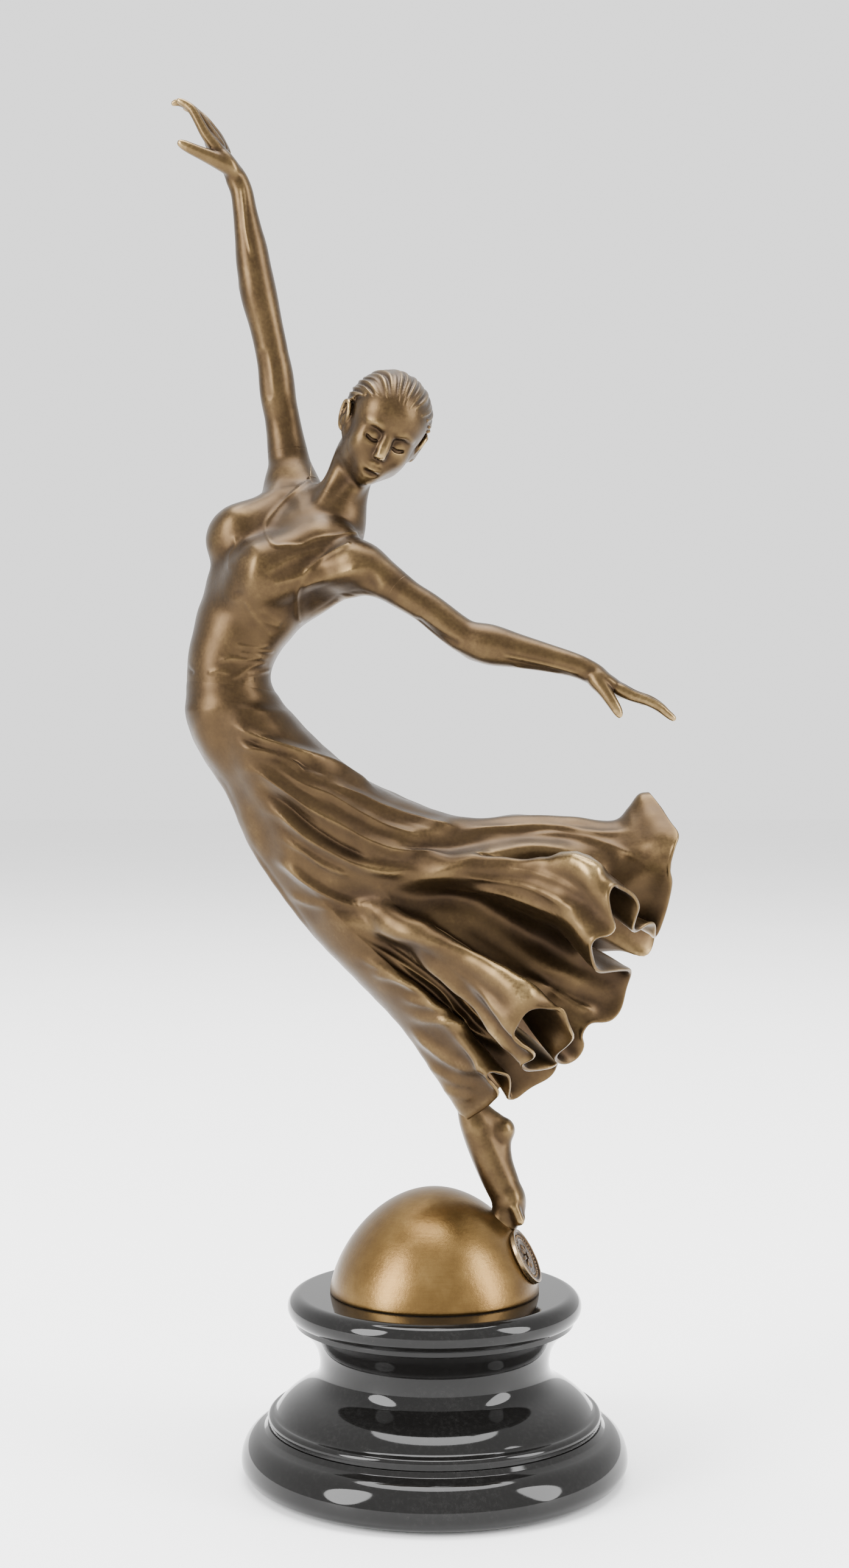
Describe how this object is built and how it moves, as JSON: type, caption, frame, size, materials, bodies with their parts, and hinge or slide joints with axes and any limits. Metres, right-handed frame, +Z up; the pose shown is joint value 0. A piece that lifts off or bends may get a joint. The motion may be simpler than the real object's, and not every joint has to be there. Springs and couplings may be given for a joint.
{
  "type": "bronze statuette",
  "caption": "Cast bronze dancer leaning on tiptoe on a half ball, arms spread and skirt blown back, mounted on a turned and polished black stone socle.",
  "frame": {"origin": "centre of the felt's underside, on the socle's axis", "axes": "+Z up along the socle's axis, -Y towards the front of the statuette, +X to the side that the skirt blows to"},
  "size_m": [0.1827, 0.141, 0.5075],
  "materials": {
    "patinated_bronze": "brown patina, rubbed to gold on the raised edges, waxed satin",
    "ball_bronze": "light golden brown patina, brushed satin",
    "seal_bronze": "dark struck bronze with rubbed relief",
    "black_marble": "polished black with a few pale specks",
    "zinc_steel": "zinc plated",
    "felt": "dark green felt"
  },
  "bodies": {
    "root": {"base_felt": "felt", "socle_foot": "black_marble", "socle_waist": "black_marble", "socle_cap": "black_marble", "socle_stud": "zinc_steel", "socle_washer": "zinc_steel", "socle_nut": "zinc_steel", "half_ball": "ball_bronze", "ball_bridge": "zinc_steel", "foot_stud": "zinc_steel", "foot_nut": "zinc_steel", "foundry_seal": "seal_bronze", "seal_rivet": "seal_bronze", "standing_leg": "patinated_bronze", "leg_rivets": "patinated_bronze", "skirt_casting": "patinated_bronze", "waist_rivets": "patinated_bronze", "torso_casting": "patinated_bronze", "raised_arm": "patinated_bronze", "raised_arm_dowel": "patinated_bronze", "outstretched_arm": "patinated_bronze", "outstretched_arm_dowel": "patinated_bronze", "head_casting": "patinated_bronze", "neck_dowel": "patinated_bronze"}
  },
  "joints": []
}
